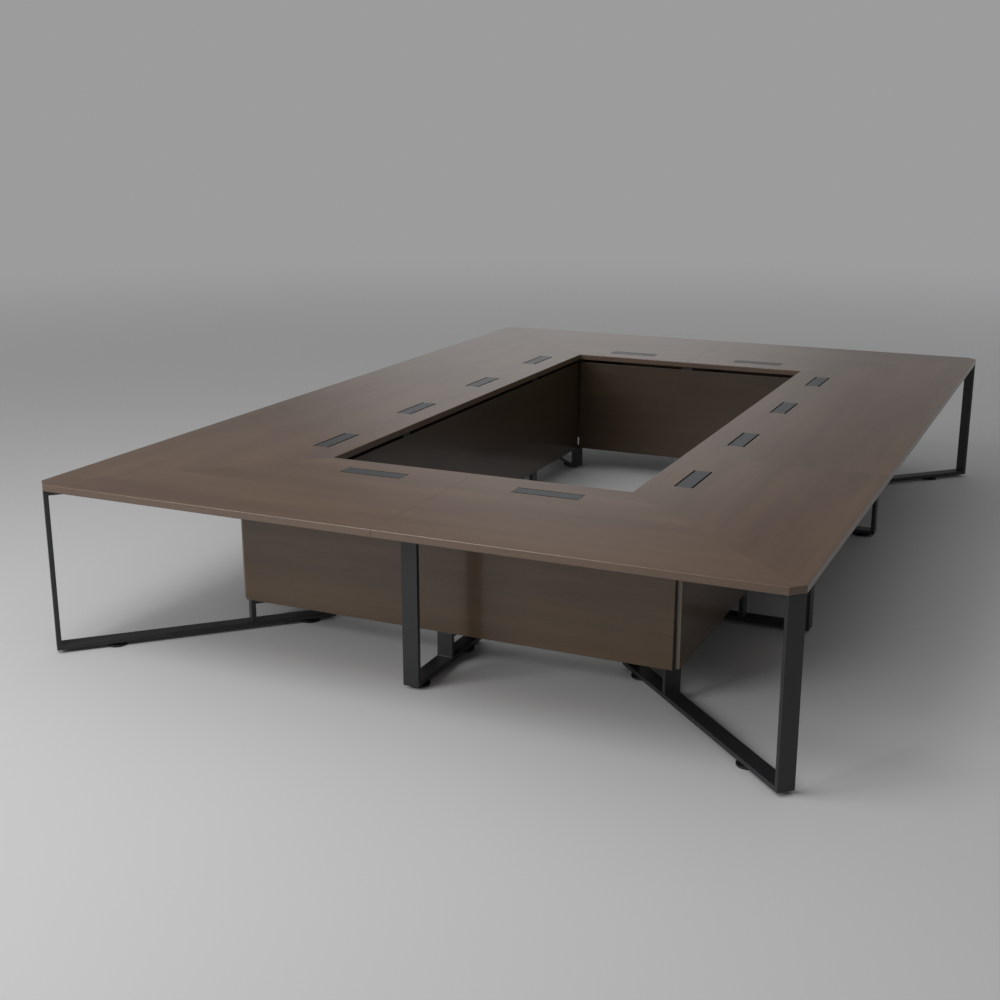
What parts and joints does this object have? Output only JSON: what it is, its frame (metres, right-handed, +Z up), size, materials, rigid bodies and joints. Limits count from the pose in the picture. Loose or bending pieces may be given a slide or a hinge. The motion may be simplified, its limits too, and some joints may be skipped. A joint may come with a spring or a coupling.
{
  "type": "conference table",
  "caption": "Ring-shaped conference table with a segmented walnut worktop, flush cable flaps, a panelled cable channel, flat tube frames and round levelling feet.",
  "frame": {"origin": "on the floor under the middle of the table", "axes": "+Z up, +X across the table to the right as seen from the front, +Y along the table to the back"},
  "size_m": [3.2, 4.8, 0.75],
  "materials": {
    "worktop": "semi-gloss lacquered walnut veneer",
    "panel": "satin lacquered walnut veneer, darker than the worktop",
    "frame": "satin black powder coat",
    "lid": "dark grey anodised, brushed",
    "foot": "matte black"
  },
  "bodies": {
    "table": {"top_front_left": "worktop", "top_front_right": "worktop", "top_right_front": "worktop", "top_right_middle": "worktop", "top_right_back": "worktop", "top_back_right": "worktop", "top_back_left": "worktop", "top_left_back": "worktop", "top_left_middle": "worktop", "top_left_front": "worktop", "panel_outer_front": "panel", "panel_inner_front": "panel", "panel_outer_right": "panel", "panel_inner_right": "panel", "panel_outer_back": "panel", "panel_inner_back": "panel", "panel_outer_left": "panel", "panel_inner_left": "panel", "frame_front": "frame", "frame_right_front": "frame", "frame_right_back": "frame", "frame_back": "frame", "frame_left_back": "frame", "frame_left_front": "frame", "frame_corner_front_right": "frame", "frame_corner_back_right": "frame", "frame_corner_back_left": "frame", "frame_corner_front_left": "frame"},
    "lid_front_1": {"lid_front_1": "lid"},
    "lid_front_2": {"lid_front_2": "lid"},
    "lid_right_1": {"lid_right_1": "lid"},
    "lid_right_2": {"lid_right_2": "lid"},
    "lid_right_3": {"lid_right_3": "lid"},
    "lid_right_4": {"lid_right_4": "lid"},
    "lid_back_1": {"lid_back_1": "lid"},
    "lid_back_2": {"lid_back_2": "lid"},
    "lid_left_1": {"lid_left_1": "lid"},
    "lid_left_2": {"lid_left_2": "lid"},
    "lid_left_3": {"lid_left_3": "lid"},
    "lid_left_4": {"lid_left_4": "lid"},
    "foot_front_outer": {"foot_front_outer": "foot"},
    "foot_front_inner": {"foot_front_inner": "foot"},
    "foot_right_front_outer": {"foot_right_front_outer": "foot"},
    "foot_right_front_inner": {"foot_right_front_inner": "foot"},
    "foot_right_back_outer": {"foot_right_back_outer": "foot"},
    "foot_right_back_inner": {"foot_right_back_inner": "foot"},
    "foot_back_outer": {"foot_back_outer": "foot"},
    "foot_back_inner": {"foot_back_inner": "foot"},
    "foot_left_back_outer": {"foot_left_back_outer": "foot"},
    "foot_left_back_inner": {"foot_left_back_inner": "foot"},
    "foot_left_front_outer": {"foot_left_front_outer": "foot"},
    "foot_left_front_inner": {"foot_left_front_inner": "foot"},
    "foot_corner_front_right_outer": {"foot_corner_front_right_outer": "foot"},
    "foot_corner_front_right_inner": {"foot_corner_front_right_inner": "foot"},
    "foot_corner_back_right_outer": {"foot_corner_back_right_outer": "foot"},
    "foot_corner_back_right_inner": {"foot_corner_back_right_inner": "foot"},
    "foot_corner_back_left_outer": {"foot_corner_back_left_outer": "foot"},
    "foot_corner_back_left_inner": {"foot_corner_back_left_inner": "foot"},
    "foot_corner_front_left_outer": {"foot_corner_front_left_outer": "foot"},
    "foot_corner_front_left_inner": {"foot_corner_front_left_inner": "foot"}
  },
  "joints": [
    {"name": "lid_front_1_hinge", "type": "hinge", "parent": "table", "child": "lid_front_1", "pos_m": [-0.4, -1.64, 0.738], "axis": [-1, 0, 0], "range_deg": [0, 100]},
    {"name": "lid_front_2_hinge", "type": "hinge", "parent": "table", "child": "lid_front_2", "pos_m": [0.4, -1.64, 0.738], "axis": [-1, 0, 0], "range_deg": [0, 100]},
    {"name": "lid_right_1_hinge", "type": "hinge", "parent": "table", "child": "lid_right_1", "pos_m": [0.84, -1.2, 0.738], "axis": [0, -1, 0], "range_deg": [0, 100]},
    {"name": "lid_right_2_hinge", "type": "hinge", "parent": "table", "child": "lid_right_2", "pos_m": [0.84, -0.4, 0.738], "axis": [0, -1, 0], "range_deg": [0, 100]},
    {"name": "lid_right_3_hinge", "type": "hinge", "parent": "table", "child": "lid_right_3", "pos_m": [0.84, 0.4, 0.738], "axis": [0, -1, 0], "range_deg": [0, 100]},
    {"name": "lid_right_4_hinge", "type": "hinge", "parent": "table", "child": "lid_right_4", "pos_m": [0.84, 1.2, 0.738], "axis": [0, -1, 0], "range_deg": [0, 100]},
    {"name": "lid_back_1_hinge", "type": "hinge", "parent": "table", "child": "lid_back_1", "pos_m": [0.4, 1.64, 0.738], "axis": [1, 0, 0], "range_deg": [0, 100]},
    {"name": "lid_back_2_hinge", "type": "hinge", "parent": "table", "child": "lid_back_2", "pos_m": [-0.4, 1.64, 0.738], "axis": [1, 0, 0], "range_deg": [0, 100]},
    {"name": "lid_left_1_hinge", "type": "hinge", "parent": "table", "child": "lid_left_1", "pos_m": [-0.84, 1.2, 0.738], "axis": [0, 1, 0], "range_deg": [0, 100]},
    {"name": "lid_left_2_hinge", "type": "hinge", "parent": "table", "child": "lid_left_2", "pos_m": [-0.84, 0.4, 0.738], "axis": [0, 1, 0], "range_deg": [0, 100]},
    {"name": "lid_left_3_hinge", "type": "hinge", "parent": "table", "child": "lid_left_3", "pos_m": [-0.84, -0.4, 0.738], "axis": [0, 1, 0], "range_deg": [0, 100]},
    {"name": "lid_left_4_hinge", "type": "hinge", "parent": "table", "child": "lid_left_4", "pos_m": [-0.84, -1.2, 0.738], "axis": [0, 1, 0], "range_deg": [0, 100]},
    {"name": "foot_front_outer_height", "type": "slide", "parent": "table", "child": "foot_front_outer", "axis": [0, 0, -1], "range_m": [0, 0.01]},
    {"name": "foot_front_inner_height", "type": "slide", "parent": "table", "child": "foot_front_inner", "axis": [0, 0, -1], "range_m": [0, 0.01]},
    {"name": "foot_right_front_outer_height", "type": "slide", "parent": "table", "child": "foot_right_front_outer", "axis": [0, 0, -1], "range_m": [0, 0.01]},
    {"name": "foot_right_front_inner_height", "type": "slide", "parent": "table", "child": "foot_right_front_inner", "axis": [0, 0, -1], "range_m": [0, 0.01]},
    {"name": "foot_right_back_outer_height", "type": "slide", "parent": "table", "child": "foot_right_back_outer", "axis": [0, 0, -1], "range_m": [0, 0.01]},
    {"name": "foot_right_back_inner_height", "type": "slide", "parent": "table", "child": "foot_right_back_inner", "axis": [0, 0, -1], "range_m": [0, 0.01]},
    {"name": "foot_back_outer_height", "type": "slide", "parent": "table", "child": "foot_back_outer", "axis": [0, 0, -1], "range_m": [0, 0.01]},
    {"name": "foot_back_inner_height", "type": "slide", "parent": "table", "child": "foot_back_inner", "axis": [0, 0, -1], "range_m": [0, 0.01]},
    {"name": "foot_left_back_outer_height", "type": "slide", "parent": "table", "child": "foot_left_back_outer", "axis": [0, 0, -1], "range_m": [0, 0.01]},
    {"name": "foot_left_back_inner_height", "type": "slide", "parent": "table", "child": "foot_left_back_inner", "axis": [0, 0, -1], "range_m": [0, 0.01]},
    {"name": "foot_left_front_outer_height", "type": "slide", "parent": "table", "child": "foot_left_front_outer", "axis": [0, 0, -1], "range_m": [0, 0.01]},
    {"name": "foot_left_front_inner_height", "type": "slide", "parent": "table", "child": "foot_left_front_inner", "axis": [0, 0, -1], "range_m": [0, 0.01]},
    {"name": "foot_corner_front_right_outer_height", "type": "slide", "parent": "table", "child": "foot_corner_front_right_outer", "axis": [0, 0, -1], "range_m": [0, 0.01]},
    {"name": "foot_corner_front_right_inner_height", "type": "slide", "parent": "table", "child": "foot_corner_front_right_inner", "axis": [0, 0, -1], "range_m": [0, 0.01]},
    {"name": "foot_corner_back_right_outer_height", "type": "slide", "parent": "table", "child": "foot_corner_back_right_outer", "axis": [0, 0, -1], "range_m": [0, 0.01]},
    {"name": "foot_corner_back_right_inner_height", "type": "slide", "parent": "table", "child": "foot_corner_back_right_inner", "axis": [0, 0, -1], "range_m": [0, 0.01]},
    {"name": "foot_corner_back_left_outer_height", "type": "slide", "parent": "table", "child": "foot_corner_back_left_outer", "axis": [0, 0, -1], "range_m": [0, 0.01]},
    {"name": "foot_corner_back_left_inner_height", "type": "slide", "parent": "table", "child": "foot_corner_back_left_inner", "axis": [0, 0, -1], "range_m": [0, 0.01]},
    {"name": "foot_corner_front_left_outer_height", "type": "slide", "parent": "table", "child": "foot_corner_front_left_outer", "axis": [0, 0, -1], "range_m": [0, 0.01]},
    {"name": "foot_corner_front_left_inner_height", "type": "slide", "parent": "table", "child": "foot_corner_front_left_inner", "axis": [0, 0, -1], "range_m": [0, 0.01]}
  ]
}
